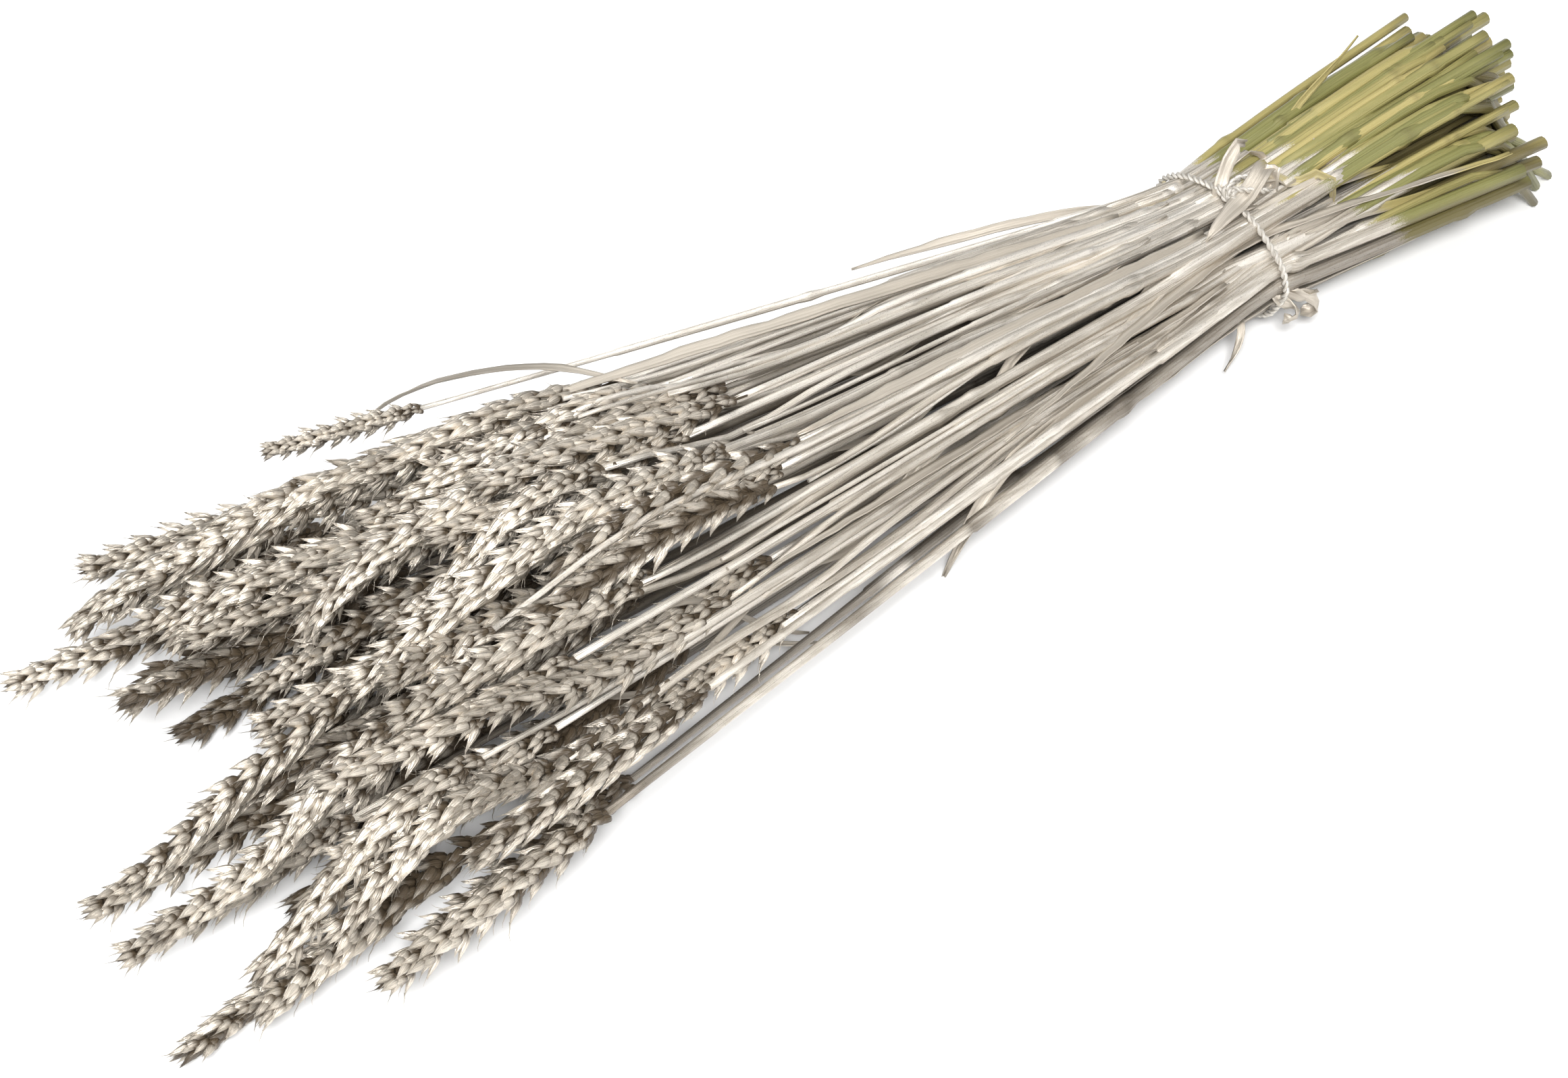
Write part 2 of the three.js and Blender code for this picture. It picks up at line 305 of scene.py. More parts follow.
class Bunch:
    """The frame's stalks as lines with a thickness, for whatever lies on them or between them."""

    def __init__(self):
        self.strands = [rings_of(node) for node in stalk_nodes()]
        self.edges = [(x, *self.edges_at(x)) for x in (EAR_ZONE_X, TIE_X, CUT_X)]

    def across(self, x):
        """The centre and radius of each stalk at this x."""
        found = []
        for rings in self.strands:
            for (a, a_radius), (b, b_radius) in zip(rings, rings[1:]):
                if a.x <= x < b.x:
                    part = (x - a.x) / (b.x - a.x)
                    found.append((a.lerp(b, part), between(a_radius, b_radius, part)))
        return found

    def edges_at(self, x):
        """The Y of the last stalk but one on each side."""
        sides = sorted(centre.y for centre, _ in self.across(x))
        return sides[1], sides[-2]

    def place_across(self, x, side):
        """Y at this x, from the near edge at side -1 to the far edge at side 1."""
        start, end = self.edges[:2] if x < TIE_X else self.edges[1:]
        part = (x - start[0]) / (end[0] - start[0])
        low, high = between(start[1], end[1], part), between(start[2], end[2], part)
        return between(low, high, (side + 1) / 2)

    def rest_height(self, x, y, radius):
        """How high a round thing of this radius lies on the stalks here, or on the ground."""
        heights = [radius]
        for centre, own in self.across(x):
            touch = own + radius
            aside = abs(y - centre.y)
            if aside < touch:
                heights.append(centre.z + math.sqrt(touch**2 - aside**2))
        return max(heights)

    def top(self, x, y):
        """The height of the bunch's upper side here."""
        return self.rest_height(x, y, 1 * MM)

    def packed_height(self, x, y):
        """The height of the topmost stalk's centre here."""
        near = [centre.z for centre, own in self.across(x) if abs(y - centre.y) < own + 1 * MM]
        return max(near, default=self.rest_height(x, y, 0) / 2)

    def lying(self, ends, sides, radius, under_cord=True):
        """A line along the bunch that rests on the stalks and, if asked, goes in among them at the cord."""
        steps = max(6, round((ends[1] - ends[0]) / (12 * MM)))
        points = []
        for k in range(steps + 1):
            x = between(*ends, k / steps)
            y = self.place_across(x, between(*sides, k / steps))
            height = self.rest_height(x, y, radius)
            if under_cord:
                height = between(height, self.packed_height(x, y), drawn_in(x))
            points.append(Vector((x, y, height)))
        for _ in range(3):
            heights = [place.z for place in points]
            for k in range(1, steps):
                points[k].z = (heights[k - 1] + 2 * heights[k] + heights[k + 1]) / 4
        return points


BUNCH = Bunch()


def spaced(points, least):
    """Leaves out points that follow another too closely."""
    kept = [points[0]]
    for place in points[1:-1]:
        if (place - kept[-1]).length > least and (points[-1] - place).length > least:
            kept.append(place)
    return [*kept, points[-1]]


# Materials


class Wire:
    """A socket in a material, with arithmetic on it."""

    def __init__(self, finish, socket):
        self.finish = finish
        self.socket = socket

    def maths(self, operation, *others):
        values = dict(enumerate((self, *others)))
        return self.finish.node("ShaderNodeMath", {"operation": operation}, values)

    def __add__(self, other):
        return self.maths("ADD", other)

    def __sub__(self, other):
        return self.maths("SUBTRACT", other)

    def __mul__(self, other):
        return self.maths("MULTIPLY", other)

    def __rsub__(self, other):
        return self.finish.node("ShaderNodeMath", {"operation": "SUBTRACT"}, {0: other, 1: self})

    __radd__ = __add__
    __rmul__ = __mul__

    def clamped(self):
        return self.finish.node("ShaderNodeClamp", {}, {"Value": self})

    def step(self, low, high):
        """0 below low, 1 above high and smooth between."""
        values = {"Value": self, "From Min": low, "From Max": high}
        return self.finish.node("ShaderNodeMapRange", {"interpolation_type": "SMOOTHSTEP"}, values)


class Finish:
    """A material under construction."""

    def __init__(self, name):
        self.material = bpy.data.materials.new(name)
        self.material.use_nodes = True
        self.nodes = self.material.node_tree.nodes
        self.shader = self.nodes["Principled BSDF"]

    def node(self, kind, settings, values, out=0):
        """Adds any node: first its settings, then the numbers, colours or wires of its sockets."""
        made = self.nodes.new(kind)
        for key, setting in settings.items():
            setattr(made, key, setting)
        for key, value in values.items():
            self.set(made.inputs[key], value)
        return Wire(self, made.outputs[out])

    def set(self, socket, value):
        if isinstance(value, Wire):
            self.material.node_tree.links.new(value.socket, socket)
        elif socket.type == "RGBA" and len(value) == 3:
            socket.default_value = (*value, 1)
        else:
            socket.default_value = value

    def place(self):
        """Where a point is on the object, in metres."""
        return self.node("ShaderNodeTexCoord", {}, {}, "Object")

    def stretched(self, scale):
        """The place with each axis multiplied, for patterns that run along the straw."""
        return self.node("ShaderNodeVectorMath", {"operation": "MULTIPLY"}, {0: self.place(), 1: scale})

    def surface(self, across, along):
        """The piece's own UV: across counts round a husk or straw and along runs down it."""
        uv = self.node("ShaderNodeUVMap", {"uv_map": "UVMap"}, {})
        return self.node("ShaderNodeVectorMath", {"operation": "MULTIPLY"}, {0: uv, 1: (across, along, 0)})

    def number(self, name):
        """A number stored on the mesh."""
        return self.node("ShaderNodeAttribute", {"attribute_name": name}, {}, "Fac")

    def noise(self, vector, scale, detail=2.0, roughness=0.5):
        values = {"Vector": vector, "Scale": scale, "Detail": detail, "Roughness": roughness}
        return self.node("ShaderNodeTexNoise", {}, values)

    def mix(self, factor, first, second):
        values = {"Factor": factor, 6: first, 7: second}
        return self.node("ShaderNodeMix", {"data_type": "RGBA"}, values, 2)

    def bump(self, height, distance, strength=1.0, under=None):
        values = {"Height": height, "Distance": distance, "Strength": strength}
        if under:
            values["Normal"] = under
        return self.node("ShaderNodeBump", {}, values)

    def finish_with(self, **values):
        for key, value in values.items():
            self.set(self.shader.inputs[key.replace("_", " ")], value)
        return self.material


def silver_speckle(finish):
    """The grain of sprayed metal flakes: 0 to 1, changing every fraction of a millimetre."""
    return finish.noise(finish.place(), 2600, detail=3, roughness=0.7)


def ear_paint(colours):
    """Silver paint on husks with veins and glittering flakes, and near-black painted shade, partly bare husk,
    in the gaps and deep in the bunch.
    """
    finish = Finish("Silver paint on husks")
    grain = silver_speckle(finish)
    flakes = grain.step(0.58, 0.7)
    veins = finish.noise(finish.surface(20, 0.8), 1.0, detail=1.5)
    patches = finish.noise(finish.place(), 160, detail=2)
    # Painted shade: near the ear's middle, at each husk's base and deep in the bunch the colour goes to the
    # near-black gap colour. Where it stands for bare husk, the metal goes too.
    open_to_spray_and_light = finish.number("reach") * 0.75 + finish.number("along").clamped() * 0.46
    open_to_spray_and_light = open_to_spray_and_light - finish.number("depth").step(0.5, 2.6) * 0.3
    sprayed_and_lit = (open_to_spray_and_light + (patches - 0.5) * 0.35 + (grain - 0.5) * 0.2).step(0.48, 0.84)
    depth = patches * 0.5 + veins * 0.5 + finish.number("tone") * 0.12
    shade = finish.mix(depth.step(0.40, 0.68), colours.silver_dark, colours.husk_silver)
    colour = finish.mix(sprayed_and_lit, colours.painted_gap_shade, shade)
    relief = finish.bump(veins, 0.7 * MM, 1.0)
    relief = finish.bump(grain, 0.08 * MM, 0.8, relief)
    return finish.finish_with(
        Base_Color=colour,
        Metallic=sprayed_and_lit * 0.86,
        Roughness=0.38 - flakes * 0.2,
        Normal=relief,
    )


def straw_finish(colours):
    """Straw: silver paint as far as the spray reached, then bare yellow-green stem."""
    finish = Finish("Straw, painted and bare")
    grain = silver_speckle(finish)
    ridges = finish.noise(finish.surface(26, 1.5), 1.0, detail=2)
    streaks = finish.noise(finish.stretched((9, 900, 900)), 1.0, detail=2)
    bare = (finish.number("past_paint") + (streaks - 0.5) * 1.6 + (grain - 0.5) * 1.5).step(-0.3, 0.3)
    tone = finish.number("tone")
    dried = (streaks * 0.45 + tone * 0.85).step(0.3, 1.0)
    green = finish.mix(dried, colours.straw_green, colours.straw_yellow)
    green = finish.mix(finish.number("joint") * 0.35, green, colours.joint)
    silver = finish.mix(
        (streaks * 0.4 + ridges * 0.4 + tone * 0.22).step(0.3, 0.66), colours.silver_dark, colours.silver
    )
    # Painted shade: painted straws deeper in the bunch go towards the near-black gap colour, and a little at
    # the joints. Bare straws deeper in and on their flanks go towards the joint colour.
    hidden = finish.number("depth").step(0.05, 1.1)
    silver = finish.mix((hidden * 0.72 + finish.number("joint") * 0.14).clamped(), silver, colours.painted_gap_shade)
    green = finish.mix(finish.number("depth").step(0.05, 0.45) * 0.85, green, colours.joint)
    relief = finish.bump(ridges, 0.4 * MM, 1.0)
    relief = finish.bump(grain, 0.1 * MM, 0.7, relief)
    painted = 1 - bare
    return finish.finish_with(
        Base_Color=finish.mix(bare, silver, green),
        Metallic=painted * 0.85,
        Roughness=0.38 + painted * (0.06 - grain.step(0.56, 0.68) * 0.24),
        Normal=relief,
    )


def pith_finish(colours):
    """The cut end and the inside of a straw."""
    finish = Finish("Cut straw")
    fibres = finish.noise(finish.place(), 1500, detail=3)
    colour = finish.mix(fibres.step(0.3, 0.7), colours.pith, colours.straw_yellow)
    return finish.finish_with(Base_Color=colour, Roughness=0.8, Normal=finish.bump(fibres, 0.1 * MM))


def leaf_finish(colours):
    """Dried leaf with silver over it: close parallel veins and dull creases."""
    finish = Finish("Silver paint on leaf")
    grain = silver_speckle(finish)
    veins = finish.noise(finish.surface(1.5, 30), 1.0, detail=2)
    bare = (finish.number("past_paint") + (veins - 0.5) * 3).step(-0.4, 0.4)
    silver = finish.mix(veins.step(0.42, 0.98), colours.silver_dark, colours.silver)
    colour = finish.mix(bare, silver, colours.straw_yellow)
    relief = finish.bump(veins, 0.25 * MM, 0.8)
    relief = finish.bump(grain, 0.06 * MM, 0.5, relief)
    return finish.finish_with(
        Base_Color=colour,
        Metallic=(1 - bare) * 0.7,
        Roughness=0.45 + (grain - 0.5) * 0.4,
        Normal=relief,
    )


def cord_finish(colours):
    """Two-ply cord with silver over it: fine fibres along the twist."""
    finish = Finish("Silver paint on cord")
    grain = silver_speckle(finish)
    fibres = finish.noise(finish.surface(18, 30), 1.0, detail=2)
    colour = finish.mix(fibres.step(0.3, 0.7), colours.cord_dark, colours.cord)
    relief = finish.bump(fibres, 0.25 * MM, 0.9)
    return finish.finish_with(
        Base_Color=colour,
        Metallic=0.45,
        Roughness=0.5 + (grain - 0.5) * 0.4,
        Normal=relief,
    )


def floor_finish(colours):
    finish = Finish("Pale floor")
    mottle = finish.noise(finish.place(), 8, detail=2)
    colour = finish.mix(mottle, colours.floor, tuple(c * 0.985 for c in colours.floor))
    return finish.finish_with(Base_Color=colour, Roughness=0.9)


# Settings


def size(name, description, default):
    return bpy.props.FloatProperty(
        name=name, description=description, default=default * MM, min=0, unit="LENGTH", precision=5
    )


def colour(name, description, default):
    return bpy.props.FloatVectorProperty(
        name=name, description=description, default=default, size=3, subtype="COLOR", min=0, max=1
    )


def angle(name, description, degrees):
    return bpy.props.FloatProperty(
        name=name, description=description, default=math.radians(degrees), subtype="ANGLE"
    )


class WheatSizes(bpy.types.PropertyGroup):
    husk_length: size("Husk length", "From the base of a husk to its tip", 9.6)
    spikelet_pitch: size("Spikelet pitch", "From one spikelet to the next, on alternate sides", 4.1)
    awn_length: size("Awn length", "Longest of the fine hairs on the husk tips", 6)
    wall: size("Straw wall", "Thickness of the straw's wall at the cut", 0.45)
    leaf_thickness: size("Leaf thickness", "Thickness of a dried leaf blade", 0.3)
    ply: size("Cord ply", "Radius of each of the cord's two plies", 0.62)


class WheatColours(bpy.types.PropertyGroup):
    silver: colour("Silver", "Sprayed paint where it lies thick", (0.90, 0.85, 0.775))
    husk_silver: colour("Silver on husks", "Sprayed paint on the ears, a little warmer", (0.84, 0.765, 0.66))
    silver_dark: colour("Thin silver", "Sprayed paint where it lies thin", (0.50, 0.45, 0.38))
    # Painted shade: a near-black for the gaps in the ears and deep in the bunch, where the husk is also
    # partly bare.
    painted_gap_shade: colour("Gap", "Bare husk deep between the spikelets", (0.075, 0.055, 0.034))
    straw_yellow: colour("Bare straw", "Bare stem where it has dried", (0.37, 0.31, 0.12))
    straw_green: colour("Green straw", "Bare stem where it is still green", (0.185, 0.18, 0.06))
    # Besides the joints, this colour is also painted shade on bare straws deep in the bunch and on their
    # flanks.
    joint: colour("Joint", "The knots of the bare stem", (0.10, 0.08, 0.03))
    pith: colour("Pith", "The cut wall of a straw", (0.72, 0.66, 0.42))
    cord: colour("Cord", "The cord with its paint", (0.72, 0.69, 0.64))
    cord_dark: colour("Cord in shade", "Between the cord's fibres", (0.42, 0.39, 0.34))
    floor: colour("Floor", "The table or paper it lies on", (0.93, 0.93, 0.93))


class WheatStage(bpy.types.PropertyGroup):
    azimuth: angle("Azimuth", "Where the camera stands round the bunch", -38.6)
    elevation: angle("Elevation", "How far the camera looks down", 46)
    roll: angle("Roll", "How far the camera leans", 1.1)
    field: angle("Field of view", "Across the width of the view", 28)
    distance: bpy.props.FloatProperty(
        name="Distance", description="From the camera to its target", default=0.9, unit="LENGTH"
    )
    target: bpy.props.FloatVectorProperty(
        name="Target", description="What the camera looks at", default=(-0.0506, -0.0245, 0.03), unit="LENGTH"
    )


# Husks, spikelets and ears


HUSK_SEGMENTS = 8
HUSK_RINGS = 7


# Each husk's name, its rings (place, half width, half depth and lift in millimetres), its tip and its keel.
HUSKS = (
    ("glume",
        ((0.2, 1.4, 1.2, 0.1), (1.3, 2.05, 1.8, 0.4), (3.1, 2.25, 1.85, 0.6),
        (5.0, 1.75, 1.4, 0.45), (6.7, 0.95, 0.8, 0.2), (7.9, 0.36, 0.36, 0.0)),
        (9.1, 1, 1, 0.1), 0.3),
    ("lemma",
        ((0.5, 1.2, 1.1, 0.0), (1.7, 1.9, 1.6, 0.3), (3.4, 1.95, 1.6, 0.5),
        (5.2, 1.4, 1.15, 0.45), (6.9, 0.7, 0.6, 0.25), (8.1, 0.26, 0.26, 0.15)),
        (9.4, 1, 1, 0.3), 0.25),
)  # fmt: skip


def shaped_husk(name, profile, tip, keel):
    """One husk along +X, its back towards +Z, from a ball whose rings are moved and sized.

    profile gives each ring's place, half width, half depth and lift in millimetres.
    """
    husk = new_primitive(
        bpy.ops.mesh.primitive_uv_sphere_add,
        name,
        segments=HUSK_SEGMENTS,
        ring_count=HUSK_RINGS,
        radius=1,
        rotation=(0, math.pi / 2, 0),
    )
    count = len(profile)
    old = [(-1, 0)]
    latitudes = [math.pi * (k + 1) / (count + 1) for k in range(count)]
    old += [(-math.cos(latitude), math.sin(latitude)) for latitude in latitudes]
    old.append((1, 0))
    new = [(0, 1, 1, profile[0][3])] + list(profile) + [tip]
    shape_rings(husk, old, new)
    with Editing(husk) as edit:
        # The inner side is flatter than the back, and the back has a keel.
        edit.pick(lambda co: co.z < -0.05 and 0.3 < co.x < 9)
        bpy.ops.transform.resize(value=(1, 1, 0.45), center_override=(0, 0, 0))
        edit.pick(lambda co: abs(co.y) < 0.05 and co.z > 0.4)
        bpy.ops.transform.translate(value=(0, 0, keel))
        bpy.ops.mesh.select_all(action="SELECT")
        bpy.ops.transform.resize(value=(MM, MM, MM), center_override=(0, 0, 0))
    number_on(husk, "along", [vert.co.x / (profile[-1][0] * MM) for vert in husk.data.vertices])
    return smooth(husk)


def shaped_awn(name, length):
    """A stiff hair along +X, four-sided, that curves up a little."""
    awn = new_primitive(
        bpy.ops.mesh.primitive_cone_add,
        name,
        vertices=4,
        radius1=0.2 * MM,
        radius2=0.05 * MM,
        depth=length,
        end_fill_type="NGON",
        rotation=(0, math.pi / 2, 0),
    )
    with Editing(awn) as edit:
        edit.pick_edges(lambda a, b: abs(a.x - b.x) > length / 2)
        bpy.ops.mesh.subdivide(number_cuts=2)
        edit.pick(lambda co: co.x > -length / 4)
        bpy.ops.transform.translate(value=(0, 0, 0.05 * length))
        edit.pick(lambda co: co.x > length / 3)
        bpy.ops.transform.translate(value=(0, 0, 0.12 * length))
        bpy.ops.mesh.select_all(action="SELECT")
        bpy.ops.transform.translate(value=(length / 2, 0, 0))
    number_on(awn, "along", [1.0] * len(awn.data.vertices))
    return smooth(awn)


def turn(axis, degrees):
    return Matrix.Rotation(math.radians(degrees), 4, axis)


def spikelet(name, husks, dice, full):
    """A fan of husks that opens along +X: two glumes outside, the flowers between and above them.

    Y runs across the fan and Z is its back, away from the ear's middle.
    """
    glume, lemma, awn = husks
    pieces = []

    def add(pattern, across, outward, forward, splay, tilt, scale, hair):
        own = (
            Matrix.Translation((forward * MM, across * MM, outward * MM))
            @ turn("Z", splay + dice.uniform(-3, 3))
            @ turn("Y", -tilt + dice.uniform(-3, 3))
            @ turn("X", -splay * 1.8 + dice.uniform(-12, 12))
            @ Matrix.Scale(scale * dice.uniform(0.95, 1.05), 4)
        )
        husk = copy_of(pattern, own)
        pieces.append(husk)
        if dice.random() < hair:
            tip = 8.4 if pattern is lemma else 8
            stretch = dice.uniform(0.3, 1)
            hair_own = own @ Matrix.Translation((tip * MM, 0, 0)) @ turn("Y", dice.uniform(-12, 16))
            pieces.append(copy_of(awn, hair_own @ Matrix.Diagonal((stretch, 1, stretch, 1))))

    add(glume, -2.1, 0.4, 0.0, -14, 2, 1.0, 0.08)
    add(glume, 2.1, 0.4, 0.3, 14, 2, 1.0, 0.08)
    add(lemma, -2.1, 0.9, 2.4, -27, 5, 0.94, 0.35)
    add(lemma, 2.1, 0.9, 2.8, 27, 5, 0.94, 0.35)
    add(lemma, -0.9, 1.9, 2.4, -9, 12, 0.95, 0.3)
    add(lemma, 0.9, 1.7, 3.1, 10, 11, 0.9, 0.3)
    if full:
        add(lemma, 0.0, 1.5, 4.6, 0, 8, 0.84, 0.35)
    add(lemma, 0.0, -0.8, 1.9, 0, -10, 0.92, 0.2)
    return joined(pieces, name)


EAR_SHADE_RADIUS = 6.5 * MM  # this far from the ear's middle the husks are in full silver; nearer in they get painted shade, partly bare husk
MODELLED_EAR_RADIUS = 6.95 * MM
MODELLED_HUSK = 9.6 * MM
FRONT_TURN = 48  # degrees that both ranks of spikelets turn towards the ear's front, +Z


def ear(name, spikelets, rachis, count, pitch, dice):
    """An ear along +X from its tip at 0, its two ranks of spikelets to +Y and -Y."""
    length = count * pitch + 8 * MM
    pieces = []
    for k in range(count):
        along = k / (count - 1)
        side = 1 if k % 2 else -1
        size = 0.62 + 0.38 * min(along / 0.22, 1) - 0.22 * max((along - 0.6) / 0.4, 0) ** 1.5
        size *= 0.99 * dice.uniform(0.94, 1.06)
        lean = (20 - 5 * along) + dice.uniform(-4, 4)
        foot = length - 2 * MM - k * pitch
        own = (
            Matrix.Translation((foot, side * 1.5 * MM, 0))
            @ turn("Z", 180)
            @ turn("X", -90 * side)
            @ turn("Y", -lean)
            @ turn("X", FRONT_TURN * side + dice.uniform(-10, 10))
            @ Matrix.Scale(size, 4)
        )
        pieces.append(copy_of(dice.choice(spikelets), own))
    crown = Matrix.Translation((10.5 * MM, 0, 0)) @ turn("Z", 180) @ turn("X", dice.uniform(-30, 30))
    pieces.append(copy_of(spikelets[0], crown @ Matrix.Scale(0.7, 4)))
    spine = Matrix.Translation((8 * MM, 0, 0)) @ Matrix.Diagonal((length - 6 * MM, 1, 1, 1))
    pieces.append(copy_of(rachis, spine))
    whole = joined(pieces, name)
    reach = [math.hypot(vert.co.y, vert.co.z) / EAR_SHADE_RADIUS for vert in whole.data.vertices]
    number_on(whole, "reach", reach)
    whole["length"] = length
    return whole


# Straw


STRAW_SIDES = 10
RING_SPACING = 0.045  # of the straw's length
JOINT_SHAPE = ((-0.012, 1.08), (-0.006, 1.26), (0, 1.3), (0.006, 1.12), (0.012, 0.92))  # place and swell
JOINT_REACH = 0.0075  # how far from its middle a joint is darker
MODELLED_STRAW_RADIUS = 2.4 * MM
WAY_STEP = 9 * MM  # least distance between the points that a stalk is bent through
NECK_RADIUS = 1.5 * MM  # behind its widest place, a stalk thinner than this is straw and no longer ear
PAINT_PAST_CORD = 16  # millimetres past the cord where the spray stops
PAINT_UNEVEN = (-14, 26)  # how much sooner or later it stops on a single stalk
LEAF_PAINT_LATER = 14 * MM  # leaves lie on top, so more of the spray reached them
PRESSED = 2 * MM  # what is lower than this is pressed flatter by the ground


def ringed_tube(name, rings, sides):
    """A tube of radius 1 and length 1 along +X with this many rings, closed at both ends."""
    tube = new_primitive(
        bpy.ops.mesh.primitive_cylinder_add,
        name,
        vertices=sides,
        radius=1,
        depth=1,
        end_fill_type="NGON",
        rotation=(0, math.pi / 2, 0),
        location=(0.5, 0, 0),
    )
    with Editing(tube) as edit:
        edit.pick_edges(lambda a, b: abs(a.x - b.x) > 0.5)
        bpy.ops.mesh.subdivide(number_cuts=rings - 2)
    return tube


def ring_count(start, end):
    """How many rings a stretch of straw gets, so that it bends smoothly."""
    return max(2, round((end - start) / RING_SPACING))


def filled(start, end, count, swell):
    """Rings of one width, evenly between two places and at neither of them."""
    return [(start + (end - start) * (k + 1) / (count + 1), swell) for k in range(count)]


def straw_profile(joints, dice):
    """Rings of a straw from the ear to the cut: place along it, and radius against the bare stem's."""
    rings = [(0.0, 1.0)]
    for joint in joints:
        sheath_end = max(joint - dice.uniform(0.16, 0.24), 0.04)
        start = rings[-1][0]
        rings += filled(start, sheath_end, ring_count(start, sheath_end), 0.9)
        rings += [(sheath_end - 0.003, 0.92), (sheath_end, 1.16)]
        rings += filled(sheath_end, joint + JOINT_SHAPE[0][0], ring_count(sheath_end, joint), 1.1)
        rings += [(joint + shift, swell) for shift, swell in JOINT_SHAPE]
    start = rings[-1][0]
    rings += filled(start, 0.995, ring_count(start, 0.995), 0.95)
    rings.append((1.0, 0.97))
    return rings


def straw(name, joints, wall, pith, dice):
    """A hollow straw of length 1 and base radius 1, thin under the ear, with its joints and sheaths."""
    profile = straw_profile(joints, dice)
    tube = ringed_tube(name, len(profile), STRAW_SIDES)
    last = len(profile) - 1
    old = [(k / last, 1) for k in range(len(profile))]
    new = []
    for along, swell in profile:
        taper = 0.48 + 0.52 * min(along / 0.7, 1)
        flat = dice.uniform(0.86, 1.0)
        new.append((along, taper * swell, taper * swell * flat, 0))
    shape_rings(tube, old, new)
    # The cut end is hollow.
    tube.data.materials.append(None)
    tube.data.materials.append(pith)
    with Editing(tube) as edit:
        edit.pick(lambda co: co.x > 0.999)
        bpy.ops.mesh.select_mode(type="FACE")
        bpy.ops.mesh.inset(thickness=wall, depth=0)
        tube.active_material_index = 1
        bpy.ops.object.material_slot_assign()
        bpy.ops.mesh.extrude_region_move(TRANSFORM_OT_translate={"value": (-0.02, 0, 0)})
        bpy.ops.object.material_slot_assign()
    joint = []
    for vert in tube.data.vertices:
        near = min(abs(vert.co.x - place) for place in joints)
        joint.append(max(0.0, 1 - near / JOINT_REACH))
    number_on(tube, "joint", joint)
    return smooth(tube)


def mark_paint(thing, dice, later=0.0):
    """Marks how far each point is past the end of the spray, in centimetres.

    The spray stops later on the near side, and unevenly from stalk to stalk.
    """
    start = TIE_X + (PAINT_PAST_CORD + dice.uniform(*PAINT_UNEVEN)) * MM + later
    past = [(vert.co.x - start + vert.co.y) / (10 * MM) for vert in thing.data.vertices]
    number_on(thing, "past_paint", past)


class Patterns:
    """The shapes that are modelled once and copied for each stalk."""

    def __init__(self, sizes, colours):
        dice = random.Random(7)
        self.husk_paint = ear_paint(colours)
        self.straw_paint = straw_finish(colours)
        self.pith = pith_finish(colours)
        scale = sizes.husk_length / MODELLED_HUSK
        glume, lemma = (shaped_husk(*husk) for husk in HUSKS)
        awn = shaped_awn("awn", sizes.awn_length)
        rachis = ringed_tube("rachis", 5, 8)
        rachis.data.transform(Matrix.Diagonal((1, 0.95 * MM, 0.95 * MM, 1)))
        husks = [glume, lemma, awn]
        for husk in (glume, lemma):
            husk.data.transform(Matrix.Scale(scale, 4))
        for pattern in (*husks, rachis):
            give(pattern, self.husk_paint)
        spikelets = [spikelet(f"spikelet_{k}", husks, dice, k % 2 == 0) for k in range(4)]
        self.ears = [
            ear(f"ear_{k}", spikelets, rachis, 17 + k % 3, sizes.spikelet_pitch, dice) for k in range(5)
        ]
        wall = sizes.wall / MODELLED_STRAW_RADIUS
        self.straws = [
            straw(f"straw_{k}", joints, wall, self.pith, dice)
            for k, joints in enumerate([(0.42, 0.84), (0.55, 0.93), (0.33, 0.74), (0.62,)])
        ]
        for pattern in self.straws:
            pattern.data.materials[0] = self.straw_paint
        drop(*husks, rachis, *spikelets)


def bunch_roll(dice):
    """How an ear is turned about its own length: mostly with both ranks in view from above."""
    return dice.gauss(38, 28) if dice.random() < 0.85 else dice.uniform(0, 360)


def keep_off_ground(thing):
    """Presses what would reach into the ground flat on it."""
    for vert in thing.data.vertices:
        if vert.co.z < PRESSED:
            vert.co.z = PRESSED * math.exp((vert.co.z - PRESSED) / PRESSED)


def mark_depth(thing, rings):
    """Marks how deep in the bunch each point lies, in centimetres; the materials paint shade darker the
    deeper it is.
    """
    step = 8 * MM
    start = rings[0][0].x - step
    tops = []
    for k in range(math.ceil((rings[-1][0].x - start) / step) + 2):
        x = start + k * step
        centre = min((place for place, _ in rings), key=lambda place: abs(place.x - x))
        tops.append(BUNCH.top(x, centre.y))
    depths = []
    for vert in thing.data.vertices:
        place = (vert.co.x - start) / step
        k = min(max(int(place), 0), len(tops) - 2)
        depths.append((between(tops[k], tops[k + 1], place - k) - vert.co.z) / (10 * MM))
    number_on(thing, "depth", depths)


def stalk(name, patterns, rings, dice):
    """One stalk, modelled straight and then bent along the rings' centres."""
    points = [centre for centre, _ in rings]
    fattest = max(range(len(rings)), key=lambda k: rings[k][1])
    neck = next(k for k in range(fattest, len(rings)) if rings[k][1] < NECK_RADIUS)
    ear_length = length_of(points[: neck + 1]) - 3 * MM
    thickness = rings[fattest][1] / MODELLED_EAR_RADIUS
    whole_length = length_of(points)
    pattern = dice.choice(patterns.ears)
    stretch = Matrix.Diagonal((ear_length / pattern["length"], thickness, thickness, 1))
    head = copy_of(pattern, turn("X", bunch_roll(dice)) @ stretch)
    base_radius = rings[-2][1]
    foot = ear_length - 2 * MM
    squeeze = dice.uniform(0.84, 1.0)
    shape = Matrix.Diagonal((whole_length - foot, base_radius, base_radius * squeeze, 1))
    stem = copy_of(
        dice.choice(patterns.straws),
        Matrix.Translation((foot, 0, 0)) @ turn("X", dice.uniform(0, 360)) @ shape,
    )
    whole = bend_along(joined([head, stem], name), spaced(points, WAY_STEP))
    number_on(whole, "tone", [dice.random()] * len(whole.data.vertices))
    mark_depth(whole, rings)
    mark_paint(whole, dice)
    return whole


